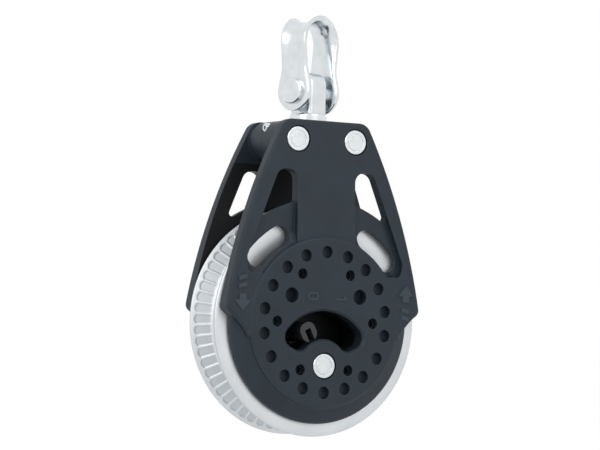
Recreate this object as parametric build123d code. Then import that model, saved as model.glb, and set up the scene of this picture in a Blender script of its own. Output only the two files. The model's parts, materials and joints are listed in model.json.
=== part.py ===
"""Single swivel sheave block with a switchable ratchet, in millimetres.

X is to the right, Y runs along the axle from the front cheek to the rear
cheek, and Z is up towards the shackle. The origin is the sheave's centre.
"""
from build123d import *
import os
from math import atan2, cos, degrees, hypot, radians, sin

# ---- sheave ----
sheave_radius = 37.5
flange_half = 9.5             # outer faces of the flanges, from mid-plane
rim_drop = 0.9                # how far the rim's edge lies inside the flange face
flange_slope = 3.9            # radial width of the rounded shoulder outside the rim
shoulder_shares = (0.28, 0.3)  # of the shoulder's width and drop, where its arc passes
rim_land = 0.5                # flat land on top of the rim
groove_depth = 7.3            # from the rim down to the floor
groove_root_rise = 1.2        # from the floor up to the foot of the straight wall
groove_root_half = 4.6
panel_count = 60
panel_inner_radius = 2.1      # curvature of a grip panel at its inner end
panel_outer_radius = 2.9      # and at its round outer end
panel_depth = 0.45
panel_start = 0.9             # from the foot of the wall to the inner end's centre
panel_end = 3.3               # and to the outer end's centre

# ---- bearing ----
ball_diameter = 4.76
ball_count = 24
ball_circle_radius = 24.4
ball_row = 6.3                # mid-plane of each ball row, from mid-plane
race_clearance = 0.05
race_inner_wall = 1.07
race_outer_wall = 1.2
race_start = 3.4              # inner end of the inner races, from mid-plane
race_end_gap = 0.15           # outer race's outer end below the flange
race_ring_gap = 0.05          # between the ratchet ring and the outer races
cage_pocket_clearance = 0.12
cage_half_wall = 1.2          # from the ball circle, both ways
cage_offset = 0.3             # from the balls' mid-plane to the cage
cage_width = 2.6

# ---- ratchet ----
tooth_count = 36
tooth_depth = 2.5
ratchet_wall = 1.23           # left behind the teeth's roots
ratchet_half = 3.3
tooth_steep = 0.85            # share of the tooth's pitch where its root lies
tooth_seat = 0.58             # share of the pitch where a swung pawl's tip lies
pawl_half = 2.0
pawl_boss_radius = 2.6
pawl_arm_half = 0.9
pawl_swing = 12.0             # degrees a pawl swings out when switched on
pawl_tip_gap = 0.4            # between the retracted pawl and the teeth
pawl_lead = 28.0              # degrees from a pawl's pin to its tip
pawl_tail_half = 1.0
tail_length = (6.6, 4.9)      # left pawl's tail points up, right pawl's down
spring_wire_radius = 0.2
spring_turns = 2
spring_gap = 0.3              # between a spring's wire and its pin

# ---- cheeks ----
cheek_gap = 0.5               # between a flange and its cheek
disc_thickness = 5.25         # of the cheek at its round disc
cheek_taper = 2.0             # how far the upper face leans in, at the top
upper_step = 0.15             # upper face below the disc, at the axle's height
disc_radius = 27.9
disc_edge_round = 0.7
disc_round_share = 0.3        # of the disc's edge rounding, where its corner is cut
rim_ring_radius = 33.2
rim_ring_thickness = 1.4      # of the sloped ring at its outer edge
rim_ring_slope = 1.8          # how much thicker it is where it meets the disc
rim_ring_edge = (0.3, 0.6, 0.5)  # inner chamfer, then outer chamfer along and across
disc_foot = (0.7, 0.6)        # small ramp between the ring and the disc's side
cheek_top = 66.0
cheek_top_half = 15.4
cheek_top_round = 4.5
side_bulge = (2.55, 0.9)      # the side's middle, out of its chord in X and Z
cheek_corner_half = 36.5
cheek_corner_height = 3.6
cheek_corner_round = 2.5
cheek_edge_round = 0.9
waist_half = 28.2
waist_height = -5.5
waist_hollow = (0.9, 0.3)     # middle of the edge under the corner, in X and Z
rim_headroom = 1.0            # above the rim, where the inner face starts to lean
recess_depth = 2.3
recess_inner_half = 10.8
recess_drop = 16.5            # from the cheek's top to the pocket's
recess_top_half = 17.8
recess_low_half = 29.6
recess_low = 19.8
recess_foot = 15.4
recess_foot_in = 0.9          # pocket's lowest corner in from the corner above it
recess_round = 3.4
recess_foot_round = 2.04
web_width = 5.0               # web between a side window and the slot below it
web_corner_round = 1.2
slot_radius = 31.9
slot_half = 3.6
slot_start = 40.5             # degrees, slot's end centre nearest the X axis
slot_sweep = 18.5

# ---- holes in the cheek discs ----
blind_hole_count = 18
blind_hole_circle = 22.92
blind_hole_radius = 2.05
blind_hole_depth = 2.4
pin_inset = 2.93              # pins' circle inside the hub's surface
pin_hole_radius = 1.8
pin_radius = 1.5
pin_hole_depth = 2.7
hub_boss_radius = 2.9
dowel_angles = (0, 60, 120, 180)
pawl_pin_angles = (-120, -60)
tool_hole_circle = 15.4
tool_hole_radius = 2.5
tool_hole_depth = 4.0
tool_hole_angle = 33.75

# ---- raised marks on the front cheek ----
mark_depth = 1.2              # how far a mark reaches into the cheek
label_height = 0.25           # of the 0 and the 1 above the disc
arrow_tips = ((-30.7, 2.9), (30.7, 12.9))
arrow_half = 3.0
arrow_head = 3.6
arrow_stem_half = 1.3
arrow_length = 5.6
dash_starts = (7.3, 9.8)      # from the arrow's tip
dash_sides = (-1.6, 1.4)
dash_slant = 0.8
dash_width = 1.4
zero_size = (4.2, 2.6)
label_stroke = 0.6
one_length = 4.2
one_flag = (1.6, 40.0)        # length, and degrees from the upright
zero_place = (-5.0, 8.4)
one_place = (5.6, 7.6)

# ---- switch ----
switch_pivot_height = -14.19
switch_rest = -27.0           # degrees from vertical, to the left
window_inner_radius = 8.7
window_outer_radius = 17.9
window_half_angle = 64.0
window_corner = 3.6
window_chamfer = 0.8
lever_half = 1.5
lever_boss_radius = 4.6
lever_arm_half = 2.0
knob_radius = 12.3            # middle of the knob from the pivot
knob_width = 5.6
knob_length = 6.4
knob_corner = 2.5
knob_slot_width = 2.2
knob_slot_length = 4.2
knob_below_face = 1.1
cam_finger_half = 1.0
cam_fingers = ((150.0, 7.85), (-35.0, 8.3))   # angle and length of each

# ---- head, rivets and swivel ----
head_radius = 6.46
seam_chamfer = 0.25           # along the seam between the two halves
rivet_half_spacing = 10.82
rivet_head_radius = 4.05
rivet_head_thickness = 0.8
rivet_head_edge = 0.2
rivet_sink = (0.05, 0.1)      # heads below the face: upper rivets, lower rivet
rivet_seat_radius = 4.5
rivet_shank_radius = 2.0
rivet_ring = (2.7, 2.9, 0.12)  # inner radius, outer radius and depth of the turned ring
pivot_shank_radius = 3.0
shank_radius = 4.0
swivel_flange_radius = 6.2
swivel_flange_height = 3.2
cavity_radius = 6.5
cavity_drop = 5.5             # from the cheeks' top to the cavity's
cavity_height = 4.9
cavity_gap = 0.4              # under the swivel's flange
washer_gap = 0.05
lock_drop = 2.6               # lock screw below the cheeks' top
lock_radius = 1.5
lock_outer = 16.3
lock_travel = 1.1
lock_gap = 0.05               # between the backed-off screw and the post
lock_depth_gap = 0.1          # left under the screw when it is driven home
lock_groove_half = 1.75
lock_socket_across = 1.5
lock_socket_depth = 1.4
lug_half = 4.5
lug_round = 1.4
lug_rise = 6.9                # above the shackle pin
collar_radius = 6.25
collar_gap = 0.3
collar_height = 2.7
collar_round = 0.8

# ---- shackle ----
pin_rise = 10.0               # shackle pin above the cheeks' top
shackle_yaw = -67.0           # degrees about Z, the rest position
shackle_pin_radius = 3.0
strap_half_width = 4.95
strap_thickness = 2.0
strap_gap_half = 6.7
ear_radius = 6.5
bow_rise = 15.7               # centre of the bow's half circle above the pin
flare_rise = 7.0              # start of the curl above the pin
flare_steps = (0.02, 0.15, 0.5, 1.05, 1.5, 1.7)   # curl of the edges, up to the crest
bow_angles = (0, 0, 0, 30, 60, 90)
pin_head_radius = 4.3
pin_head_thickness = 1.6
pin_head_round = 0.6
pin_tail = 0.4                # how far the tail stands out of its ear
pin_tail_edge = 0.3
driver_slot = 1.0

# ---- fits and cutting ----
running = 0.05                # radial clearance of every turning fit
over = 1.0                    # how far a cutter runs past what it cuts
near = 0.1                    # tolerance for finding corners and edges

# ---- worked out ----
groove_floor_radius = sheave_radius - groove_depth
race_inner_radius = ball_circle_radius - ball_diameter / 2 - race_clearance
race_outer_radius = ball_circle_radius + ball_diameter / 2 + race_clearance
sheave_bore_radius = race_outer_radius + race_outer_wall
hub_radius = race_inner_radius - race_inner_wall
pin_circle = hub_radius - pin_inset
all_pin_angles = dowel_angles + pawl_pin_angles
tooth_root_radius = sheave_bore_radius - ratchet_wall
tooth_tip_radius = tooth_root_radius - tooth_depth
cheek_inner = flange_half + cheek_gap
cheek_outer = cheek_inner + disc_thickness
recess_top = cheek_top - recess_drop
web_outer_radius = slot_radius + slot_half + web_width
rivet_height = cheek_top - head_radius
lock_height = cheek_top - lock_drop
cavity_high = cheek_top - cavity_drop
cavity_low = cavity_high - cavity_height
swivel_flange_low = cavity_low + cavity_gap
swivel_flange_high = swivel_flange_low + swivel_flange_height
collar_base = cheek_top + collar_gap
pin_height = cheek_top + pin_rise
bow_centre = pin_height + bow_rise
ear_outer = strap_gap_half + strap_thickness


def slab(face, y0, y1):
    """A flat outline drawn in X and Z, between two planes across Y."""
    return extrude(Plane.XZ.offset(-y1) * face, amount=y1 - y0)


def rod(radius, y0, y1, x=0.0, z=0.0):
    """A round bar along Y."""
    return Pos(x, (y0 + y1) / 2, z) * Rot(90, 0, 0) * Cylinder(radius, y1 - y0)


def upright(radius, z0, z1):
    """A round bar along Z, on the swivel's axis."""
    return Pos(0, 0, (z0 + z1) / 2) * Cylinder(radius, z1 - z0)


def ring(inner, outer, y0, y1):
    """A plain ring about the axle."""
    return rod(outer, y0, y1) - rod(inner, y0 - over, y1 + over)


def polar(radius, angle):
    """X and Z of a point at an angle from the X axis."""
    return radius * cos(radians(angle)), radius * sin(radians(angle))


def turned(profile):
    """A profile of (radius, y) corners turned about the axle."""
    return revolve(make_face(Polyline(*profile, close=True)), axis=Axis.Y)


def bar(start, end, half_width):
    """A flat bar with round ends between two points of X and Z."""
    length = hypot(end[0] - start[0], end[1] - start[1])
    angle = degrees(atan2(end[1] - start[1], end[0] - start[0]))
    middle = Pos((start[0] + end[0]) / 2, (start[1] + end[1]) / 2)
    return middle * Rot(0, 0, angle) * SlotCenterToCenter(length, 2 * half_width)


def upper_face(z):
    """Distance of the cheek's leaning upper face from mid-plane, at a height."""
    return cheek_outer - upper_step - cheek_taper * z / cheek_top


# ---------------------------------------------------------------- sheave

def make_sheave():
    """Flanged ring with a rope groove, and grip panels pressed into both walls."""
    root = groove_floor_radius + groove_root_rise
    lip = flange_half - rim_drop
    mouth = lip - rim_land
    shoulder = sheave_radius - flange_slope
    across_share, drop_share = shoulder_shares
    top = (sheave_radius - flange_slope * across_share, flange_half - rim_drop * drop_share)
    half = [Line((sheave_bore_radius, 0), (sheave_bore_radius, flange_half)),
            Line((sheave_bore_radius, flange_half), (shoulder, flange_half)),
            ThreePointArc((shoulder, flange_half), top, (sheave_radius, lip)),
            Line((sheave_radius, lip), (sheave_radius, mouth)),
            Line((sheave_radius, mouth), (root, groove_root_half))]
    floor = ThreePointArc((root, groove_root_half), (groove_floor_radius, 0), (root, -groove_root_half))
    outline = make_face(Curve() + half + [mirror(edge, about=Plane.XZ) for edge in half] + [floor])
    return revolve(outline, axis=Axis.Y) - grip_panels(root, mouth)


def grip_panels(root, mouth):
    """Cutters for the shallow panels on both groove walls, their outer ends round."""
    lean = degrees(atan2(mouth - groove_root_half, sheave_radius - root))
    inner = Pos(0, panel_depth - panel_inner_radius, panel_start) * Sphere(panel_inner_radius)
    outer = Pos(0, panel_depth - panel_outer_radius, panel_end) * Sphere(panel_outer_radius)
    ends = [Pos(0, panel_depth - radius, z) * Circle(radius)
            for radius, z in ((panel_inner_radius, panel_start), (panel_outer_radius, panel_end))]
    panel = loft(ends) + inner + outer
    panel = Pos(0, groove_root_half, root) * Rot(-lean, 0, 0) * panel
    pair = [panel, mirror(panel, about=Plane.XZ)]
    step = 360 / panel_count
    return [Rot(0, step * i, 0) * side for i in range(panel_count) for side in pair]


def across(shape, side):
    """The shape on the rear side (+1), or its mirror image on the front (-1)."""
    return shape if side > 0 else mirror(shape, about=Plane.XZ)


def make_outer_race(side):
    """Ring pressed into the sheave's bore, outside one row of balls."""
    start = ratchet_half + race_ring_gap
    return across(ring(race_outer_radius, sheave_bore_radius, start, flange_half - race_end_gap), side)


def make_inner_race(side):
    """Ring on the hub, inside one row of balls."""
    return across(ring(hub_radius, race_inner_radius, race_start, cheek_inner), side)


def ball_places():
    """X and Z of each ball in a row."""
    step = 360 / ball_count
    return [polar(ball_circle_radius, step * i) for i in range(ball_count)]


def make_balls(side):
    """One row of balls."""
    ball = Sphere(ball_diameter / 2)
    return Compound([Pos(x, side * ball_row, z) * ball for x, z in ball_places()])


def make_ball_cage(side):
    """A thin ring outside the balls' mid-plane that keeps them apart."""
    pocket = Sphere(ball_diameter / 2 + cage_pocket_clearance)
    pockets = [Pos(x, ball_row, z) * pocket for x, z in ball_places()]
    start = ball_row + cage_offset
    inner = ball_circle_radius - cage_half_wall
    cage = ring(inner, ball_circle_radius + cage_half_wall, start, start + cage_width)
    return across(cage - pockets, side)


# ---------------------------------------------------------------- ratchet

def pawl_tip(index, swing):
    """Centre of a pawl's round tip, with the pawl swung out by an angle."""
    pin = polar(pin_circle, pawl_pin_angles[index])
    tip_radius = tooth_tip_radius - pawl_tip_gap - pawl_arm_half
    tip = polar(tip_radius, pawl_pin_angles[index] + pawl_lead)
    reach = hypot(tip[0] - pin[0], tip[1] - pin[1])
    angle = degrees(atan2(tip[1] - pin[1], tip[0] - pin[0])) - swing
    dx, dz = polar(reach, angle)
    return pin[0] + dx, pin[1] + dz


def make_ratchet_ring():
    """Inward saw teeth, placed so that a swung pawl lies between two of them."""
    corners = []
    step = 360 / tooth_count
    tip = pawl_tip(0, pawl_swing)
    first = degrees(atan2(tip[1], tip[0])) - tooth_seat * step
    for i in range(tooth_count):
        corners.append(polar(tooth_tip_radius, first + step * i))
        corners.append(polar(tooth_root_radius, first + step * (i + tooth_steep)))
    teeth = make_face(Polyline(*corners, close=True))
    return slab(Circle(sheave_bore_radius) - teeth, -ratchet_half, ratchet_half)


def make_pawl(index):
    """A pawl on its pin: an arm to the teeth, and a tail that the cam holds."""
    pin = polar(pin_circle, pawl_pin_angles[index])
    tip = pawl_tip(index, 0)
    tail_side = 1 if index == 0 else -1
    tail = (pin[0], pin[1] + tail_side * tail_length[index])
    flat = Pos(*pin) * Circle(pawl_boss_radius)
    flat += bar(pin, tip, pawl_arm_half)
    flat += bar(pin, tail, pawl_tail_half)
    body = slab(flat, -pawl_half, pawl_half)
    return body - rod(pin_radius + running, -pawl_half - over, pawl_half + over, *pin)


def make_pins(angles):
    """Steel pins through both hub halves, ending below the cheeks' faces."""
    end = cheek_outer - pin_hole_depth
    pins = [rod(pin_radius, -end, end, *polar(pin_circle, angle)) for angle in angles]
    return Compound(pins)


def make_pawl_springs():
    """A small torsion coil on each pawl pin, beside the pawl."""
    coil_radius = pin_radius + spring_gap + spring_wire_radius
    wire_diameter = 2 * spring_wire_radius
    height = race_start - pawl_half - 2 * wire_diameter
    pitch = height / spring_turns
    path = Helix(pitch=pitch, height=height, radius=coil_radius)
    wire = Plane(origin=path @ 0, z_dir=path % 0) * Circle(spring_wire_radius)
    coil = sweep(wire, path=path)
    coils = []
    for angle in pawl_pin_angles:
        x, z = polar(pin_circle, angle)
        start = pawl_half + wire_diameter + height
        coils.append(Pos(x, start, z) * Rot(90, 0, 0) * coil)
    return Compound(coils)


# ---------------------------------------------------------------- hub and switch

def kidney(grow=0.0):
    """The window's outline: a band about the switch pivot with round corners."""
    far = 3 * window_outer_radius
    corner = (far * sin(radians(window_half_angle)), far * cos(radians(window_half_angle)))
    wedge = make_face(Polyline((0, 0), corner, (0, 2 * far), (-corner[0], corner[1]), close=True))
    band = (Circle(window_outer_radius) - Circle(window_inner_radius)) & wedge
    band = fillet(band.vertices(), window_corner)
    if grow:
        band = offset(band, grow)
    return Pos(0, switch_pivot_height) * band


def make_hub(side):
    """One half of the bearing hub, with bosses that meet at mid-plane."""
    hub = rod(hub_radius, race_start, cheek_inner)
    for angle in dowel_angles:
        hub += rod(hub_boss_radius, 0, race_start + over, *polar(pin_circle, angle))
    for angle in all_pin_angles:
        hub -= rod(pin_radius, -over, cheek_inner + over, *polar(pin_circle, angle))
    hub -= rod(pivot_shank_radius, -over, cheek_inner + over, 0, switch_pivot_height)
    if side < 0:
        hub -= slab(kidney(), -over, cheek_inner + over)
    return across(hub, side)


def make_switch_lever():
    """Cam plate on the lower rivet, with a slotted knob through the window."""
    pivot = (0, switch_pivot_height)
    upright_angle = 90 - switch_rest
    dx, dz = polar(knob_radius, upright_angle)
    arm_end = (dx, pivot[1] + dz)
    flat = Pos(*pivot) * Circle(lever_boss_radius)
    flat += bar(pivot, arm_end, lever_arm_half)
    for angle, length in cam_fingers:
        fx, fz = polar(length, angle)
        flat += bar(pivot, (fx, pivot[1] + fz), cam_finger_half)
    body = slab(flat, -lever_half, lever_half)
    outline = RectangleRounded(knob_width, knob_length, knob_corner)
    outline -= Pos(0, (knob_slot_length - knob_length) / 2) * Rectangle(knob_slot_width, knob_slot_length)
    outline = Pos(*arm_end) * Rot(0, 0, -switch_rest) * outline
    body += slab(outline, knob_below_face - cheek_outer, -lever_half)
    return body - rod(pivot_shank_radius + running, -cheek_outer, cheek_outer, *pivot)


# ---------------------------------------------------------------- cheeks

def upper_outline():
    """The cheek above the disc: flat top, bulging sides and waisted foot."""
    side_top = (cheek_top_half, cheek_top)
    corner = (cheek_corner_half, cheek_corner_height)
    waist = (waist_half, waist_height)
    middle = ((side_top[0] + corner[0]) / 2 + side_bulge[0], (side_top[1] + corner[1]) / 2 + side_bulge[1])
    hollow = ((corner[0] + waist[0]) / 2 - waist_hollow[0], (corner[1] + waist[1]) / 2 + waist_hollow[1])
    right = [Line((0, cheek_top), side_top), ThreePointArc(side_top, middle, corner),
             ThreePointArc(corner, hollow, waist), Line(waist, (0, waist_height))]
    left = [mirror(edge, about=Plane.YZ) for edge in right]
    face = make_face(Curve() + right + left)
    tops = face.vertices().filter_by(lambda v: v.Y > cheek_top - near and abs(v.X) > near)
    face = fillet(tops, cheek_top_round)
    corners = face.vertices().filter_by(lambda v: abs(v.X) > cheek_corner_half - near)
    return fillet(corners, cheek_corner_round)


def recess_outline():
    """One side pocket, on the right; the disc covers its lower edge."""
    points = [(recess_inner_half, recess_foot), (recess_inner_half, recess_top),
              (recess_top_half, recess_top), (recess_low_half, recess_low),
              (recess_low_half - recess_foot_in, recess_foot)]
    face = make_face(Polyline(*points, close=True))
    face = fillet(face.vertices().filter_by(lambda v: v.Y > recess_foot + near), recess_round)
    foot = face.vertices().filter_by(lambda v: v.Y < recess_foot + near and v.X > recess_inner_half + near)
    return fillet(foot, recess_foot_round)


def both_sides(shape):
    """The shape on the right, and its mirror image on the left."""
    return [shape, mirror(shape, about=Plane.YZ)]


def make_upper_wall():
    """The leaning wall above the disc, drawn for the rear side."""
    reach = cheek_outer + over
    low = waist_height - over
    top = cheek_top + over
    inner_start = sheave_radius + rim_headroom
    inner_top = cheek_inner - cheek_taper * (cheek_top - inner_start) / cheek_top
    side_view = make_face(Polyline(
        (cheek_inner, low), (upper_face(low), low), (upper_face(top), top),
        (inner_top, top), (cheek_inner, inner_start), close=True))
    block = extrude(Plane.YZ * side_view, amount=cheek_corner_half + over, both=True)
    wall = slab(upper_outline(), 0, reach) & block
    front_face = wall.faces().sort_by(Axis.Y)[-1]
    wall = fillet(front_face.edges(), cheek_edge_round)
    for cut in both_sides(slab(recess_outline(), upper_face(recess_top / 2) - recess_depth, reach)):
        wall -= cut
    return wall


def make_disc():
    """The round disc with its sloped lower ring, drawn for the rear side."""
    corner = disc_edge_round * disc_round_share
    inner_edge, edge_along, edge_across = rim_ring_edge
    foot_out, foot_up = disc_foot
    ring_top = cheek_inner + rim_ring_thickness
    ring_foot = ring_top + rim_ring_slope
    return turned([
        (0, cheek_inner), (rim_ring_radius - inner_edge, cheek_inner),
        (rim_ring_radius, cheek_inner + inner_edge),
        (rim_ring_radius, ring_top - edge_across), (rim_ring_radius - edge_along, ring_top),
        (disc_radius + foot_out, ring_foot), (disc_radius, ring_foot + foot_up),
        (disc_radius, cheek_outer - disc_edge_round), (disc_radius - corner, cheek_outer - corner),
        (disc_radius - disc_edge_round, cheek_outer), (0, cheek_outer),
    ])


def make_head_half():
    """Half of the swivel head, a flat-sided boss between the top rivets."""
    outline = Pos(0, rivet_height) * SlotCenterToCenter(2 * rivet_half_spacing, 2 * head_radius)
    half = slab(outline, 0, cheek_inner)
    return chamfer(half.faces().sort_by(Axis.Y)[0].edges(), seam_chamfer)


def blind_holes():
    """Cutters for the round of shallow holes near the disc's edge."""
    step = 360 / blind_hole_count
    floor = cheek_outer - blind_hole_depth
    places = [polar(blind_hole_circle, 90 + step * i) for i in range(blind_hole_count)]
    return [rod(blind_hole_radius, floor, cheek_outer + over, *place) for place in places]


def pin_holes():
    """Cutters for the hub's pins, each with a wider recess over its end."""
    cuts = []
    for angle in all_pin_angles:
        place = polar(pin_circle, angle)
        cuts.append(rod(pin_hole_radius, cheek_outer - pin_hole_depth, cheek_outer + over, *place))
        cuts.append(rod(pin_radius, cheek_inner - over, cheek_outer, *place))
    return cuts


def tool_holes():
    """Cutters for the two deep holes above the window."""
    floor = cheek_outer - tool_hole_depth
    angles = (tool_hole_angle, 180 - tool_hole_angle)
    return [rod(tool_hole_radius, floor, cheek_outer + over, *polar(tool_hole_circle, a)) for a in angles]


def rivet_places():
    """X, Z, shank radius and head face of the three rivets."""
    top = upper_face(rivet_height) - rivet_sink[0]
    low = cheek_outer - rivet_sink[1]
    return [(-rivet_half_spacing, rivet_height, rivet_shank_radius, top),
            (rivet_half_spacing, rivet_height, rivet_shank_radius, top),
            (0, switch_pivot_height, pivot_shank_radius, low)]


def rivet_cuts():
    """Cutters for the rivets' shanks and the seats of their heads."""
    cuts = []
    for x, z, shank, face in rivet_places():
        cuts.append(rod(shank, -over, cheek_outer + over, x, z))
        cuts.append(rod(rivet_seat_radius, face - rivet_head_thickness, cheek_outer + over, x, z))
    return cuts


def side_openings():
    """Through openings of one pocket: above its web, and the slot below it."""
    above = recess_outline() - Circle(web_outer_radius)
    corners = above.vertices().filter_by(lambda v: hypot(v.X, v.Y) < web_outer_radius + near)
    above = fillet(corners, web_corner_round)
    arc = CenterArc((0, 0), slot_radius, slot_start, slot_sweep)
    slot = SlotArc(arc, 2 * slot_half)
    cuts = []
    for outline in (above, slot):
        cuts += both_sides(slab(outline, 0, cheek_outer + over))
    return cuts


def head_bores():
    """The swivel's bore and cavity, and the lock screw's thread."""
    screw = Pos(-cheek_top_half, 0, lock_height) * Rot(0, 90, 0)
    bore = upright(shank_radius + running, cavity_low, cheek_top + over)
    cavity = upright(cavity_radius, cavity_low, cavity_high)
    thread = screw * Cylinder(lock_radius, 2 * cheek_top_half)
    return [bore, cavity, thread]


def make_cheek():
    """A whole cheek for the rear side, with half of the swivel head."""
    cheek = make_upper_wall() + make_disc() + make_head_half()
    cuts = blind_holes() + pin_holes() + tool_holes() + rivet_cuts() + side_openings() + head_bores()
    return cheek - cuts


def arrow(tip, direction):
    """A turning arrow with two bars behind it; direction is +1 up, -1 down."""
    x, z = tip
    head = z - arrow_head * direction
    tail = z - arrow_length * direction
    points = [(x, z), (x + arrow_half, head), (x + arrow_stem_half, head), (x + arrow_stem_half, tail),
              (x - arrow_stem_half, tail), (x - arrow_stem_half, head), (x - arrow_half, head)]
    marks = [make_face(Polyline(*points, close=True))]
    left, right = x + dash_sides[0], x + dash_sides[1]
    for start in dash_starts:
        edge = z - start * direction
        slant, width = dash_slant * direction, dash_width * direction
        dash = [(left, edge), (right, edge - slant), (right, edge - slant - width), (left, edge - width)]
        marks.append(make_face(Polyline(*dash, close=True)))
    return marks


def raised_marks():
    """Turning arrows at the corners, and a 0 and a 1 beside the window."""
    floor = cheek_outer - mark_depth
    marks = arrow(arrow_tips[0], -1) + arrow(arrow_tips[1], 1)
    on_wall = [slab(mark, floor, cheek_outer) for mark in marks]
    length, width = zero_size
    zero = SlotOverall(length, width) - SlotOverall(length - 2 * label_stroke, width - 2 * label_stroke)
    flag_length, flag_angle = one_flag
    flag = Pos(one_length / 2 - label_stroke, label_stroke) * Rot(0, 0, -flag_angle)
    one = Rectangle(one_length, label_stroke) + flag * Rectangle(flag_length, label_stroke)
    labels = [Pos(*zero_place) * zero, Pos(*one_place) * one]
    return on_wall + [slab(label, floor, cheek_outer + label_height) for label in labels]


def make_front_cheek():
    """A cheek with raised marks and the switch window, turned to the front."""
    cheek = make_cheek()
    for mark in raised_marks():
        cheek += mark
    lip = Plane.XZ.offset(-(cheek_outer - window_chamfer)) * kidney()
    cheek -= slab(kidney(), cheek_inner - over, cheek_outer + over)
    cheek -= loft([lip, Plane.XZ.offset(-cheek_outer) * kidney(window_chamfer)])
    return mirror(cheek, about=Plane.XZ)


# ---------------------------------------------------------------- rivets and swivel

def make_rivet(index):
    """A rivet through both cheeks, with a fine ring turned in each head."""
    x, z, shank, face = rivet_places()[index]
    end = face - rivet_head_thickness / 2
    head = rod(rivet_head_radius, face - rivet_head_thickness, face, x, z)
    head = chamfer(head.edges().sort_by(Axis.Y)[-1], rivet_head_edge)
    inner, outer, depth = rivet_ring
    head -= rod(outer, face - depth, face + over, x, z) - rod(inner, face - over, face + 2 * over, x, z)
    return rod(shank, -end, end, x, z) + head + mirror(head, about=Plane.XZ)


def make_swivel_post():
    """Post with a retaining flange, a lock groove and the shackle's lug."""
    collar_top = collar_base + collar_height
    post = upright(shank_radius, swivel_flange_low, (collar_base + collar_top) / 2)
    post += upright(swivel_flange_radius, swivel_flange_low, swivel_flange_high)
    groove_low, groove_high = lock_height - lock_groove_half, lock_height + lock_groove_half
    core = shank_radius - lock_travel - running - lock_depth_gap
    groove = upright(shank_radius + over, groove_low, groove_high)
    post -= groove - upright(core, groove_low - over, groove_high + over)
    collar = upright(collar_radius, collar_base, collar_top)
    post += fillet(collar.edges().sort_by(Axis.Z)[-1], collar_round)
    dome = pin_height + lug_rise - lug_half
    lug = Pos(0, 0, (collar_base + dome) / 2) * Box(2 * lug_half, 2 * lug_half, dome - collar_base)
    lug += rod(lug_half, -lug_half, lug_half, 0, dome)
    flats = lug.faces().filter_by(Axis.Y)
    edges = [edge for face in flats for edge in face.edges() if edge.center().Z > collar_base + near]
    lug = fillet(edges, lug_round)
    lug -= rod(shackle_pin_radius + running, -lug_half - over, lug_half + over, 0, pin_height)
    return post + Rot(0, 0, shackle_yaw) * lug


def make_thrust_washer():
    """Plain washer between the swivel's flange and the roof of its cavity."""
    low = swivel_flange_high + washer_gap
    bore = upright(shank_radius + running, low - over, cavity_high + over)
    return upright(cavity_radius, low, cavity_high) - bore


def make_lock_screw():
    """Socket set screw, backed off so that the swivel turns freely."""
    tip = shank_radius + running + lock_gap
    length = lock_outer - tip
    screw = Pos(-tip - length / 2, 0, lock_height) * Rot(0, 90, 0) * Cylinder(lock_radius - running, length)
    socket = extrude(RegularPolygon(lock_socket_across / 2, 6), amount=lock_socket_depth)
    return screw - Pos(-lock_outer, 0, lock_height) * Rot(0, 90, 0) * socket


# ---------------------------------------------------------------- shackle

def strap_section(curl):
    """The strap's section, its edges curled outwards; X across, Y outwards."""
    w = strap_half_width
    inner, outer = strap_gap_half, ear_outer
    return make_face([
        ThreePointArc((-w, inner + curl), (0, inner), (w, inner + curl)),
        Line((w, inner + curl), (w, outer + curl)),
        ThreePointArc((w, outer + curl), (0, outer), (-w, outer + curl)),
        Line((-w, outer + curl), (-w, inner + curl)),
    ])


def make_shackle_bow():
    """Two straps with round ears, joined over the top by a curled saddle."""
    straight = bow_rise - flare_rise
    drops = (-straight, -straight / 2, 0, 0, 0, 0)
    stations = list(zip(flare_steps, drops, bow_angles))
    stations += [(curl, drop, 180 - angle) for curl, drop, angle in reversed(stations[:-1])]
    sections = []
    for curl, drop, angle in stations:
        place = Pos(0, 0, bow_centre + drop) * Rot(angle, 0, 0)
        sections.append(place * strap_section(curl))
    bow = loft(sections)
    for side in (-1, 1):
        y = side * (strap_gap_half + strap_thickness / 2)
        strap = Box(2 * strap_half_width, strap_thickness, flare_rise)
        bow += Pos(0, y, pin_height + flare_rise / 2) * strap
        bow += rod(ear_radius, y - strap_thickness / 2, y + strap_thickness / 2, 0, pin_height)
    bow -= rod(shackle_pin_radius, -ear_outer - over, ear_outer + over, 0, pin_height)
    return Rot(0, 0, shackle_yaw) * bow


def make_shackle_pin():
    """Plain pin with a domed head in front and a driver slot in its tail."""
    tail = ear_outer + pin_tail
    pin = rod(shackle_pin_radius, -ear_outer, tail, 0, pin_height)
    pin = chamfer(pin.edges().sort_by(Axis.Y)[-1], pin_tail_edge)
    head = rod(pin_head_radius, -ear_outer - pin_head_thickness, -ear_outer, 0, pin_height)
    pin += fillet(head.edges().sort_by(Axis.Y)[0], pin_head_round)
    pin -= Pos(0, tail, pin_height) * Box(3 * shackle_pin_radius, 2 * driver_slot, driver_slot)
    return Rot(0, 0, shackle_yaw) * pin


# ---------------------------------------------------------------- all nodes

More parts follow.
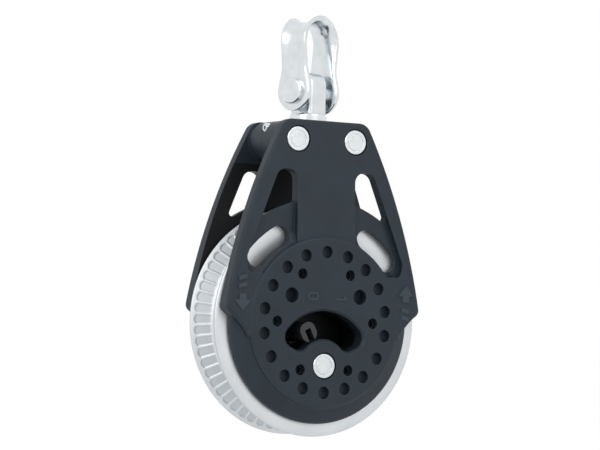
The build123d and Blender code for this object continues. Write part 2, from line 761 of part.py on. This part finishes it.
nodes = {
    "shackle_bow": make_shackle_bow(),
    "shackle_pin": make_shackle_pin(),
    "swivel_post": make_swivel_post(),
    "thrust_washer": make_thrust_washer(),
    "lock_screw": make_lock_screw(),
    "front_cheek": make_front_cheek(),
    "rear_cheek": make_cheek(),
    "top_rivet_left": make_rivet(0),
    "top_rivet_right": make_rivet(1),
    "lower_rivet": make_rivet(2),
    "hub_dowels": make_pins(dowel_angles),
    "pawl_pins": make_pins(pawl_pin_angles),
    "pawl_springs": make_pawl_springs(),
    "pawl_left": make_pawl(0),
    "pawl_right": make_pawl(1),
    "switch_lever": make_switch_lever(),
    "sheave": make_sheave(),
    "ratchet_ring": make_ratchet_ring(),
}
for end, side in (("front", -1), ("rear", 1)):
    nodes["hub_" + end] = make_hub(side)
    nodes["inner_race_" + end] = make_inner_race(side)
    nodes["outer_race_" + end] = make_outer_race(side)
    nodes["balls_" + end] = make_balls(side)
    nodes["ball_cage_" + end] = make_ball_cage(side)

os.makedirs("parts", exist_ok=True)
for name, shape in nodes.items():
    export_step(shape, os.path.join("parts", name + ".step"))
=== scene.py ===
"""Looks of a single swivel sheave block: finishes of its pieces, and its shackle bow."""

import json
import math

import bpy
import numpy as np
from mathutils import Matrix, Vector


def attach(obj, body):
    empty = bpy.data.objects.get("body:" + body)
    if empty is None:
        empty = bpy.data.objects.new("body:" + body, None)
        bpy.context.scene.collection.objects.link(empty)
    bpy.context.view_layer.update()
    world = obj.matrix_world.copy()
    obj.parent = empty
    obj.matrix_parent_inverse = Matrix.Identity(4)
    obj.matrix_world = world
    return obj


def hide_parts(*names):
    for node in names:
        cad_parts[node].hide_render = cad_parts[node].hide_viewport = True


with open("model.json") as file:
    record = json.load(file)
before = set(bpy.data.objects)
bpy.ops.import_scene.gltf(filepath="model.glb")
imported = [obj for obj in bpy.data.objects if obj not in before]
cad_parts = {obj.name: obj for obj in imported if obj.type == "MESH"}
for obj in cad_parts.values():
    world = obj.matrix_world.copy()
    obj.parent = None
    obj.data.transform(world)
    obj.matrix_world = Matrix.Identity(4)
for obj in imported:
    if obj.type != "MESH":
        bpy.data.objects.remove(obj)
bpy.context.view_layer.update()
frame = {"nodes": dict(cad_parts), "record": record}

MM = 0.001

# ---- shackle bow, in millimetres, in the shackle's own frame (pin along Y) ----
PIN_HEIGHT = 76.0
SHACKLE_YAW = -67.0           # degrees about Z
STRAP_HALF = 4.95
STRAP_THICKNESS = 2.0
STRAP_MIDDLE = 7.7            # from the centre plane to the strap's middle
EAR_RADIUS = 6.5
BOW_CENTRE = 91.7
SADDLE_FLARE = 1.75           # how far the strap's edges curl out at the crest
FLARE_START = 80.0
NECK_LENGTH = 9.0             # over which the ear narrows to the strap
STRAP_POWER = 6               # of the superellipse that the strap's section is
PATH_STEPS = 180
LOOP_STEPS = 64
EAR_TIP = 0.03                # radians, where the ear's round end is capped


# ---- sheave, in millimetres from the axle and from mid-plane ----
BORE_RADIUS = 28.03
FACE_HALF = 9.5
SHOULDER_RADIUS = 33.6        # where the flange's face starts to round off
RIM_RADIUS = 37.5
RIM_HALF = 8.6
WALL_TOP_HALF = 8.1
WALL_FOOT_RADIUS = 31.4
WALL_FOOT_HALF = 4.6
FLOOR_RADIUS = 30.2
PANEL_COUNT = 60
PANEL_SHARE = 0.8             # of the pitch; the rest is the rib between two panels
PANEL_HOLLOW = 0.3            # how deep a panel is pressed in
PANEL_START = 0.3             # up the wall from its foot
PANEL_END = 5.9
PANEL_SCALLOP = 0.6           # how much shorter a panel is at its sides than at its middle
PANEL_RAMP = 0.3              # width of a panel's sloped ends
PANEL_SIDE_RAMP = 0.08        # half width of its sloped sides, as a share like PANEL_SHARE
COLUMNS_PER_PANEL = 16
CORNER_EASE = 0.04            # bevel left where two stretches of the profile meet
FLOOR_STEPS = 6
WALL_STEPS = 28
SHOULDER_STEPS = 8


# ---- cheeks, in millimetres from mid-plane and from the axle ----
DISC_RADIUS = 28.2
MARK_FACE = 15.2              # arrow tops lie further out than this
LABEL_FACE = 15.35            # and the 0 and 1 on the disc further than this
INNER_FACE = 10.05            # faces nearer the mid-plane than this look at the sheave; below the head they get painted shade
HEAD_BOTTOM = 52.0            # the swivel head, above this, fills the gap between the cheeks


# ---------------------------------------------------------------- meshes

def new_piece(name, vertices, faces, smooth=True):
    """A mesh object at the origin from an array of points in metres and a list of faces."""
    mesh = bpy.data.meshes.new(name)
    mesh.from_pydata(vertices.tolist(), [], faces)
    mesh.validate()
    mesh.update()
    mesh.polygons.foreach_set("use_smooth", np.full(len(mesh.polygons), smooth))
    piece = bpy.data.objects.new(name, mesh)
    bpy.context.scene.collection.objects.link(piece)
    return piece


def smoothstep(low, high, value):
    """0 below low, 1 above high, and 3t^2 - 2t^3 between them."""
    t = np.clip((value - low) / (high - low), 0, 1)
    return t * t * (3 - 2 * t)


def strap_loop(count):
    """A rounded oblong as two arrays: across from -1 to 1, and through from -1 to 1.

    It is a superellipse: |across|^power + |through|^power = 1.
    """
    angle = np.linspace(0, 2 * np.pi, count, endpoint=False)
    across, through = np.cos(angle), np.sin(angle)
    size = (np.abs(across) ** STRAP_POWER + np.abs(through) ** STRAP_POWER) ** (1 / STRAP_POWER)
    return across / size, through / size


def shackle_path(count):
    """The bow's middle line: up one strap, round a half circle and down the other.

    Returns height, offset along the pin, and the outward normal's two parts,
    as arrays along the path, with an ear's round end at each end of it.
    """
    ear = PIN_HEIGHT - EAR_RADIUS * np.cos(np.linspace(EAR_TIP, 0.5 * np.pi, count // 6))
    leg = np.linspace(PIN_HEIGHT, BOW_CENTRE, count // 4 + 1)[1:]
    up = np.concatenate([ear, leg])
    turn = np.linspace(0, np.pi, count // 3)[1:-1]
    height = np.concatenate([up, BOW_CENTRE + STRAP_MIDDLE * np.sin(turn), up[::-1]])
    along = np.concatenate([np.full(len(up), -STRAP_MIDDLE), -STRAP_MIDDLE * np.cos(turn),
                            np.full(len(up), STRAP_MIDDLE)])
    angle = np.concatenate([np.zeros(len(up)), turn, np.full(len(up), np.pi)])
    return height, along, -np.cos(angle), np.sin(angle)


def half_width(height):
    """Half the strap's width: the ear's circle below the pin, and above it a smooth
    S from the ear's radius in to the strap's."""
    drop = np.clip((PIN_HEIGHT - height) / EAR_RADIUS, 0, 1)
    circle = EAR_RADIUS * np.sqrt(1 - drop ** 2)
    narrowing = smoothstep(PIN_HEIGHT, PIN_HEIGHT + NECK_LENGTH, height)
    neck = EAR_RADIUS + (STRAP_HALF - EAR_RADIUS) * narrowing
    return np.where(height < PIN_HEIGHT, circle, neck)


def make_bow():
    """The shackle's bow: a strap carried along a U, its edges curling out towards the crest.

    At each step of the path the loop's points lie at across * half width along X,
    and at through * half thickness + flare * across^2 along the path's outward normal.
    """
    height, along, out_y, out_z = shackle_path(PATH_STEPS)
    width = half_width(height)
    flare = SADDLE_FLARE * smoothstep(FLARE_START, BOW_CENTRE + STRAP_MIDDLE, height)
    across, through = strap_loop(LOOP_STEPS)
    lift = through[None, :] * STRAP_THICKNESS / 2 + flare[:, None] * across[None, :] ** 2
    x = across[None, :] * width[:, None]
    y = along[:, None] + out_y[:, None] * lift
    z = height[:, None] + out_z[:, None] * lift
    yaw = math.radians(SHACKLE_YAW)
    points = np.stack([x * math.cos(yaw) - y * math.sin(yaw),
                       x * math.sin(yaw) + y * math.cos(yaw), z], axis=-1)
    return tube_piece("shackle_bow_strap", points * MM)


def tube_piece(name, points):
    """A closed tube from a grid of points: steps along it by points round it, with capped ends."""
    steps, around = points.shape[:2]
    index = np.arange(steps * around).reshape(steps, around)
    a, b = index[:-1], index[1:]
    quads = np.stack([a, np.roll(a, -1, 1), np.roll(b, -1, 1), b], axis=-1).reshape(-1, 4)
    first, last = steps * around, steps * around + 1
    centres = np.stack([points[0].mean(0), points[-1].mean(0)])
    ring = np.roll(index, -1, 1)
    low = np.stack([ring[0], index[0], np.full(around, first)], axis=-1)
    high = np.stack([index[-1], ring[-1], np.full(around, last)], axis=-1)
    vertices = np.concatenate([points.reshape(-1, 3), centres])
    return new_piece(name, vertices, quads.tolist() + low.tolist() + high.tolist())


def wall_axes():
    """The unit direction up the groove's wall, in radius and in half width."""
    rise, spread = RIM_RADIUS - WALL_FOOT_RADIUS, WALL_TOP_HALF - WALL_FOOT_HALF
    length = math.hypot(rise, spread)
    return rise / length, spread / length


def stretch(first, last, count):
    """Points along a straight stretch of the profile, its ends eased off its corners."""
    first, last = np.array(first), np.array(last)
    ease = (last - first) / np.linalg.norm(last - first) * CORNER_EASE
    return np.linspace(first + ease, last - ease, count)


def sheave_profile():
    """Rear half of the sheave's section: radius and half width, and distance up the groove wall.

    The floor is an arc through the middle and both feet, the wall is straight, and the
    shoulder is a quarter of an ellipse. The distance is negative off the wall.
    """
    foot_rise = WALL_FOOT_RADIUS - FLOOR_RADIUS
    bend = (foot_rise ** 2 + WALL_FOOT_HALF ** 2) / (2 * foot_rise)
    turn = np.linspace(0, math.asin(WALL_FOOT_HALF / bend), FLOOR_STEPS)[:-1]
    floor = np.stack([FLOOR_RADIUS + bend * (1 - np.cos(turn)), bend * np.sin(turn)], axis=-1)
    wall = stretch((WALL_FOOT_RADIUS, WALL_FOOT_HALF), (RIM_RADIUS, WALL_TOP_HALF), WALL_STEPS)
    land = stretch((RIM_RADIUS, WALL_TOP_HALF), (RIM_RADIUS, RIM_HALF), 2)
    round_off = np.linspace(0, np.pi / 2, SHOULDER_STEPS)[1:]
    width, drop = RIM_RADIUS - SHOULDER_RADIUS, FACE_HALF - RIM_HALF
    shoulder = np.stack([SHOULDER_RADIUS + width * np.cos(round_off),
                         RIM_HALF + drop * np.sin(round_off)], axis=-1)
    face = stretch((SHOULDER_RADIUS, FACE_HALF), (BORE_RADIUS, FACE_HALF), 2)
    bore = np.array([(BORE_RADIUS, FACE_HALF - CORNER_EASE)])
    parts = [floor, wall, land, shoulder, face, bore]
    up_wall = [np.full(len(part), -1.0) for part in parts]
    up_wall[1] = np.linalg.norm(wall - (WALL_FOOT_RADIUS, WALL_FOOT_HALF), axis=1)
    return np.concatenate(parts), np.concatenate(up_wall)


def make_sheave():
    """The sheave: its section carried round the axle, with panels pressed into both groove walls.

    With s going from 0 at a panel's middle to 1 at the middle of a rib, and u the distance
    up the wall, the wall is sunk by hollow * (1 - step(s)) * step(u) * (1 - step(u, end(s))),
    where end(s) = end - scallop * (s / share)^2 makes the panel's round outer end.
    """
    half, up_half = sheave_profile()
    section = np.concatenate([half, half[:0:-1] * (1, -1)])
    up_wall = np.concatenate([up_half, up_half[:0:-1]])
    columns = PANEL_COUNT * COLUMNS_PER_PANEL
    angle = np.linspace(0, 2 * np.pi, columns, endpoint=False)
    phase = angle * PANEL_COUNT / (2 * np.pi)
    side = 2 * np.abs((phase + 0.5) % 1 - 0.5)
    end = PANEL_END - PANEL_SCALLOP * (side / PANEL_SHARE) ** 2
    u = up_wall[:, None]
    lasting = 1 - smoothstep(end[None, :] - PANEL_RAMP, end[None, :], u)
    between = 1 - smoothstep(PANEL_SHARE - PANEL_SIDE_RAMP, PANEL_SHARE + PANEL_SIDE_RAMP, side)[None, :]
    sunk = PANEL_HOLLOW * between * smoothstep(PANEL_START, PANEL_START + PANEL_RAMP, u) * lasting
    up_radius, up_half_width = wall_axes()
    radius = section[:, :1] - sunk * up_half_width
    y = section[:, 1:] + sunk * up_radius * np.sign(section[:, 1:])
    points = np.stack([radius * np.sin(angle), y, radius * np.cos(angle)], axis=-1)
    steps = len(section)
    index = np.arange(steps * columns).reshape(steps, columns)
    after = np.roll(index, -1, 0)
    faces = np.stack([index, np.roll(index, -1, 1), np.roll(after, -1, 1), after], axis=-1)
    return new_piece("sheave_fluted", points.reshape(-1, 3) * MM, faces.reshape(-1, 4).tolist())


# ---------------------------------------------------------------- materials

NOISE_MIDDLE = (0.3, 0.7)     # the stretch of a noise's values that a ramp spreads out
EDGE_MATCH = (0.995, 0.9)     # how well the two normals agree where the painted edge highlight starts and is full
PANEL_SHADE = (0.08, 0.24)    # millimetres below the wall, where a panel's painted shade starts and is full
PANEL_CLEAR = 0.1             # millimetres above the wall's foot, where it may begin


def colour(code):
    """An sRGB hex colour as the linear RGBA that the shaders take."""
    parts = [int(code[i:i + 2], 16) / 255 for i in (1, 3, 5)]
    linear = [p / 12.92 if p <= 0.04045 else ((p + 0.055) / 1.055) ** 2.4 for p in parts]
    return (*linear, 1.0)


def add(tree, kind, settings=None, **inputs):
    """Adds a node with its settings; an input is a value or another node's output.

    An input called i and a number is that socket, and any other is the socket of that name.
    """
    node = tree.nodes.new(kind)
    for key, value in (settings or {}).items():
        setattr(node, key, value)
    for key, value in inputs.items():
        socket = node.inputs[int(key[1:])] if key[1:].isdigit() else node.inputs[key.replace("_", " ")]
        if isinstance(value, bpy.types.NodeSocket):
            tree.links.new(value, socket)
        else:
            socket.default_value = value
    return node


def arithmetic(tree, operation, *values):
    """The result of one operation on values or other nodes' outputs."""
    inputs = {f"i{place}": value for place, value in enumerate(values)}
    return add(tree, "ShaderNodeMath", {"operation": operation}, **inputs).outputs[0]


def new_material(name):
    """An empty material with its tree, its output and the object's coordinates."""
    material = bpy.data.materials.new(name)
    material.use_nodes = True
    tree = material.node_tree
    tree.nodes.clear()
    output = tree.nodes.new("ShaderNodeOutputMaterial")
    place = tree.nodes.new("ShaderNodeTexCoord").outputs["Object"]
    return material, tree, output, place


def finish(material, tree, output, **inputs):
    """Ends a material with its shader, and returns it."""
    shader = add(tree, "ShaderNodeBsdfPrincipled", **inputs)
    tree.links.new(shader.outputs[0], output.inputs["Surface"])
    return material


def per_mm(size):
    """The texture scale whose features are about so many millimetres across."""
    return 1 / (size * MM)


def noise(tree, place, size, detail=2.0, roughness=0.5):
    """Noise with features about so many millimetres across."""
    node = add(tree, "ShaderNodeTexNoise", Vector=place, Scale=per_mm(size), Detail=detail,
               Roughness=roughness)
    return node.outputs[0]


def bump(tree, height, strength, depth, **normal):
    """A normal tilted by a height, for a relief so many millimetres deep."""
    node = add(tree, "ShaderNodeBump", Strength=strength, Distance=depth * MM, Height=height, **normal)
    return node.outputs[0]


def ramp(tree, factor, low, high):
    """A ramp between two values over the factor's middle."""
    start, end = NOISE_MIDDLE
    node = add(tree, "ShaderNodeMapRange", Value=factor, From_Min=start, From_Max=end,
               To_Min=low, To_Max=high)
    return node.outputs["Result"]


def mix(tree, factor, one, two):
    """One colour shifting to another by a factor."""
    node = add(tree, "ShaderNodeMix", {"data_type": "RGBA"}, Factor=factor, i6=one, i7=two)
    return node.outputs[2]


def clouded(tree, factor, one, two):
    """One hex colour shifting to another over a noise's middle."""
    return mix(tree, ramp(tree, factor, 0.0, 1.0), colour(one), colour(two))


def rounded_normal(tree, radius):
    """The normal with its edges rounded to this radius in millimetres."""
    return add(tree, "ShaderNodeBevel", {"samples": 4}, Radius=radius * MM).outputs[0]


def edge_highlight_mask(tree, rounded):
    """1 where a rounded normal turns away from the true one, 0 on flats: where edges get a painted highlight.
    """
    flat = tree.nodes.new("ShaderNodeNewGeometry").outputs["Normal"]
    match = add(tree, "ShaderNodeVectorMath", {"operation": "DOT_PRODUCT"}, i0=rounded, i1=flat)
    start, full = EDGE_MATCH
    mask = add(tree, "ShaderNodeMapRange", Value=match.outputs["Value"], From_Min=start, From_Max=full,
               To_Min=0.0, To_Max=1.0)
    return mask.outputs["Result"]


def axle_place(tree, place):
    """A point's distance from the axle, and its Y and Z."""
    axes = add(tree, "ShaderNodeSeparateXYZ", Vector=place)
    flat = add(tree, "ShaderNodeCombineXYZ", X=axes.outputs["X"], Z=axes.outputs["Z"])
    length = add(tree, "ShaderNodeVectorMath", {"operation": "LENGTH"}, i0=flat.outputs[0])
    return length.outputs["Value"], axes.outputs["Y"], axes.outputs["Z"]


def raised_top_highlight_mask(tree, place):
    """1 on the tops of the raised marks, which stand further out than the face about them and get a painted
    highlight.
    """
    radius, y, _ = axle_place(tree, place)
    on_wall = arithmetic(tree, "GREATER_THAN", radius, DISC_RADIUS * MM)
    level = add(tree, "ShaderNodeMapRange", Value=on_wall, To_Min=-LABEL_FACE * MM, To_Max=-MARK_FACE * MM)
    return arithmetic(tree, "LESS_THAN", y, level.outputs["Result"])


def shade_between_cheeks_mask(tree, place):
    """1 on the cheeks' inner faces, below the swivel head, where painted shade goes."""
    _, y, z = axle_place(tree, place)
    inner = arithmetic(tree, "LESS_THAN", arithmetic(tree, "ABSOLUTE", y), INNER_FACE * MM)
    low = arithmetic(tree, "LESS_THAN", z, HEAD_BOTTOM * MM)
    return arithmetic(tree, "MULTIPLY", inner, low)


def panel_shade_mask(tree, place):
    """1 in the pressed panels, found by how far a point lies below the groove's plain wall; it is where
    painted shade goes.
    """
    up_radius, up_half_width = wall_axes()
    radius, y, _ = axle_place(tree, place)
    foot = (WALL_FOOT_RADIUS * up_half_width - WALL_FOOT_HALF * up_radius) * MM
    out = arithmetic(tree, "MULTIPLY_ADD", arithmetic(tree, "ABSOLUTE", y), up_radius, foot)
    depth = arithmetic(tree, "MULTIPLY_ADD", radius, -up_half_width, out)
    start, full = PANEL_SHADE
    sunk = add(tree, "ShaderNodeMapRange", Value=depth, From_Min=start * MM, From_Max=full * MM)
    on_wall = arithmetic(tree, "LESS_THAN", depth, 2 * PANEL_HOLLOW * MM)
    above = arithmetic(tree, "GREATER_THAN", radius, (WALL_FOOT_RADIUS + PANEL_CLEAR) * MM)
    return arithmetic(tree, "MULTIPLY", arithmetic(tree, "MULTIPLY", on_wall, above), sunk.outputs["Result"])


def glass_filled_nylon():
    """Injection-moulded black nylon with glass fibre: a fine matt skin that greys where light
    grazes it, with faint flow clouds, painted highlights on its corners and on the raised marks'
    tops, and near-black painted shade on the cheeks' inner faces."""
    material, tree, output, place = new_material("glass_filled_nylon_moulded")
    rounded = rounded_normal(tree, 0.35)
    grain = noise(tree, place, 0.35, roughness=0.7)
    body = clouded(tree, noise(tree, place, 14, detail=3.0, roughness=0.6), "#1b262f", "#232f39")
    # painted highlight: the corners paler, as where light catches them
    body = mix(tree, edge_highlight_mask(tree, rounded), body, colour("#3a4650"))
    # painted highlight: the raised marks' tops lighter than the face
    body = mix(tree, raised_top_highlight_mask(tree, place), body, colour("#36414a"))
    # painted shade: the cheeks' inner faces near black, where no light reaches between the parts
    body = mix(tree, shade_between_cheeks_mask(tree, place), body, colour("#04080b"))
    return finish(material, tree, output, Base_Color=body, Roughness=ramp(tree, grain, 0.46, 0.58), IOR=1.42,
                  Normal=bump(tree, grain, 0.22, 0.04, Normal=rounded))


def switch_nylon():
    """Moulded dark grey nylon for the switch, with a painted highlight making its corners paler."""
    material, tree, output, place = new_material("nylon_moulded_grey")
    rounded = rounded_normal(tree, 0.25)
    grain = noise(tree, place, 0.3)
    # painted highlight: the switch's corners paler
    body = mix(tree, edge_highlight_mask(tree, rounded), colour("#26292d"), colour("#565c61"))
    return finish(material, tree, output, Base_Color=body, Roughness=ramp(tree, grain, 0.40, 0.52), IOR=1.52,
                  Normal=bump(tree, grain, 0.15, 0.04, Normal=rounded))


def anodised_aluminium():
    """Aluminium, bead-blasted and clear anodised: an even pale sheen with a very fine grain,
    painted shade greying the pressed panels and a painted highlight along the ribs' edges."""
    material, tree, output, place = new_material("aluminium_bead_blasted_anodised")
    rounded = rounded_normal(tree, 0.2)
    grain = noise(tree, place, 0.22, roughness=0.8)
    body = clouded(tree, noise(tree, place, 9), "#d6dadd", "#dee1e4")
    # painted shade: the pressed panels greyer than the lands
    body = mix(tree, panel_shade_mask(tree, place), body, colour("#c4c9cd"))
    # painted highlight: brighter along the ribs' edges
    body = mix(tree, edge_highlight_mask(tree, rounded), body, colour("#f2f3f4"))
    return finish(material, tree, output, Base_Color=body, Metallic=0.85,
                  Roughness=ramp(tree, grain, 0.40, 0.52),
                  Normal=bump(tree, grain, 0.25, 0.03, Normal=rounded))


def polished_stainless():
    """Stainless steel, forged and tumble-polished: bright, with soft waves left by polishing
    and fine hairlines that only break up its reflections."""
    material, tree, output, place = new_material("stainless_tumble_polished")
    waves = noise(tree, place, 3.5, detail=1.0)
    marks = noise(tree, place, 0.25, detail=3.0, roughness=0.75)
    broad = bump(tree, waves, 0.25, 0.08, Normal=rounded_normal(tree, 0.2))
    return finish(material, tree, output, Base_Color=clouded(tree, waves, "#d5dadd", "#e0e4e7"), Metallic=1.0,
                  Roughness=ramp(tree, marks, 0.14, 0.26), Normal=bump(tree, marks, 0.10, 0.02, Normal=broad))


def turned_metal(name, low, high, groove):
    """A turned or ground metal: fine rings about the axle that stretch its reflections."""
    material, tree, output, place = new_material(name)
    wave = add(tree, "ShaderNodeTexWave", {"wave_type": "RINGS", "rings_direction": "Y"}, Vector=place,
               Scale=per_mm(groove), Distortion=0.6, Detail=1.0)
    rings = wave.outputs["Fac"]
    body = mix(tree, rings, colour(low), colour(high))
    return finish(material, tree, output, Base_Color=body, Metallic=1.0,
                  Roughness=ramp(tree, rings, 0.25, 0.38), Normal=bump(tree, rings, 0.15, 0.02))


def acetal():
    """Moulded white acetal, as used for balls and washers: smooth, waxy, faintly mottled."""
    material, tree, output, place = new_material("acetal_moulded")
    mottle = noise(tree, place, 2.5)
    return finish(material, tree, output, Base_Color=clouded(tree, mottle, "#dcdcd4", "#e9e9e3"), IOR=1.48,
                  Roughness=ramp(tree, mottle, 0.28, 0.36), Normal=bump(tree, mottle, 0.08, 0.02))


def dress():
    """Gives each CAD node shown the finish of its material slot."""
    finishes = {
        "glass_filled_nylon": glass_filled_nylon(),
        "switch_nylon": switch_nylon(),
        "anodised_aluminium": anodised_aluminium(),
        "polished_stainless": polished_stainless(),
        "race_aluminium": turned_metal("race_turned_anodised", "#b9bcbf", "#cfd2d4", 0.4),
        "hardened_steel": turned_metal("tool_steel_black_oxide", "#191b1d", "#222528", 0.3),
        "acetal": acetal(),
    }
    for entry in frame["record"]["subparts"]:
        node = frame["nodes"][entry["node"]]
        node.data.materials.clear()
        node.data.materials.append(finishes[entry["material_slot"]])
    return finishes


# ---------------------------------------------------------------- stage, light and camera

CAMERA_AZIMUTH = -29.63
CAMERA_ELEVATION = -2.37
CAMERA_ROLL = 1.59
CAMERA_DISTANCE = 0.8
CAMERA_OFFSET = (0.00078, -0.03208)
FOCAL_LENGTH = 144.9

FLOOR_HEIGHT = -0.075         # the block hangs a little above it
FLOOR_REACH = 30.0
FLOOR_WHITE_SHARE = 0.94       # the rest is paint, which keeps the shadow
FLOOR_GLOW = 1.03             # makes up for the paint's share where nothing shades it
WORLD_STRENGTH = 0.55

LIGHT_TARGET = (0.0, 0.0, 0.03)
SOFT_BOXES = (                # name, place and size in metres, power in watts
    ("left_soft_box", (-0.75, -0.45, 0.45), 0.6, 2.3),
    ("front_soft_box", (0.25, -1.0, 0.55), 0.7, 2.1),
    ("back_soft_box", (0.6, 0.7, 0.5), 0.6, 2.4),
)


def camera_axes():
    """The camera's right, up and back directions from its azimuth, elevation and roll."""
    a, e, r = (math.radians(v) for v in (CAMERA_AZIMUTH, CAMERA_ELEVATION, CAMERA_ROLL))
    back = Vector((math.sin(a) * math.cos(e), -math.cos(a) * math.cos(e), math.sin(e)))
    level = Vector((math.cos(a), math.sin(a), 0))
    rise = back.cross(level)
    right = level * math.cos(r) + rise * math.sin(r)
    up = rise * math.cos(r) - level * math.sin(r)
    return right, up, back


def place_camera():
    right, up, back = camera_axes()
    centre = back * CAMERA_DISTANCE - right * CAMERA_OFFSET[0] - up * CAMERA_OFFSET[1]
    data = bpy.data.cameras.new("camera")
    data.lens = FOCAL_LENGTH
    data.sensor_width = 36.0
    data.clip_end = 20.0
    camera = bpy.data.objects.new("camera", data)
    bpy.context.scene.collection.objects.link(camera)
    turn = Matrix((right, up, back)).transposed().to_4x4()
    camera.matrix_world = Matrix.Translation(centre) @ turn
    bpy.context.scene.camera = camera


def seen_by_eye(tree):
    """1 for a ray from the camera, or in a reflection or glass, and 0 for light on the object."""
    light_path = tree.nodes.new("ShaderNodeLightPath")
    ray = light_path.outputs
    direct = arithmetic(tree, "MAXIMUM", ray["Is Camera Ray"], ray["Is Glossy Ray"])
    return arithmetic(tree, "MAXIMUM", direct, ray["Is Transmission Ray"])


def make_stage():
    """A pale floor below the hanging block; it shows white but keeps the block's shadow."""
    reach = FLOOR_REACH
    signs = ((-1, -1), (1, -1), (1, 1), (-1, 1))
    corners = np.array([(x * reach, y * reach, FLOOR_HEIGHT) for x, y in signs])
    floor = new_piece("floor", corners, [[0, 1, 2, 3]], smooth=False)
    material, tree, output, _ = new_material("floor_white_paint")
    paint = add(tree, "ShaderNodeBsdfPrincipled", Base_Color=colour("#f4f4f4"), Roughness=0.9)
    white = add(tree, "ShaderNodeEmission", Color=(1, 1, 1, 1), Strength=FLOOR_GLOW)
    share = arithmetic(tree, "MULTIPLY", seen_by_eye(tree), FLOOR_WHITE_SHARE)
    blend = add(tree, "ShaderNodeMixShader", Fac=share, i1=paint.outputs[0], i2=white.outputs[0])
    tree.links.new(blend.outputs[0], output.inputs["Surface"])
    floor.data.materials.append(material)


def make_world():
    """Even, slightly cool surroundings, seen as white."""
    world = bpy.data.worlds.new("studio")
    world.use_nodes = True
    tree = world.node_tree
    tree.nodes.clear()
    output = tree.nodes.new("ShaderNodeOutputWorld")
    dim = add(tree, "ShaderNodeBackground", Color=colour("#eef2f6"), Strength=WORLD_STRENGTH)
    white = add(tree, "ShaderNodeBackground", Color=(1, 1, 1, 1), Strength=1.0)
    blend = add(tree, "ShaderNodeMixShader", Fac=seen_by_eye(tree), i1=dim.outputs[0], i2=white.outputs[0])
    tree.links.new(blend.outputs[0], output.inputs["Surface"])
    bpy.context.scene.world = world


def soft_lamp(name, place, target, size, power):
    """A square soft box at a place, turned to a target."""
    data = bpy.data.lights.new(name, "AREA")
    data.size = size
    data.energy = power
    lamp = bpy.data.objects.new(name, data)
    bpy.context.scene.collection.objects.link(lamp)
    direction = Vector(target) - Vector(place)
    turn = direction.to_track_quat("-Z", "Y").to_matrix().to_4x4()
    lamp.matrix_world = Matrix.Translation(Vector(place)) @ turn


def make_lights():
    """Three soft boxes about the block, at a plain level."""
    for name, place, size, power in SOFT_BOXES:
        soft_lamp(name, place, LIGHT_TARGET, size, power)


# ---------------------------------------------------------------- the whole

finishes = dress()

bow = make_bow()
bow.data.materials.append(finishes["polished_stainless"])
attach(bow, "shackle")
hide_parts("shackle_bow")

sheave = make_sheave()
sheave.data.materials.append(finishes["anodised_aluminium"])
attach(sheave, "sheave")
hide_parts("sheave")

place_camera()
make_stage()
make_world()
make_lights()
bpy.context.scene.view_settings.view_transform = "Standard"
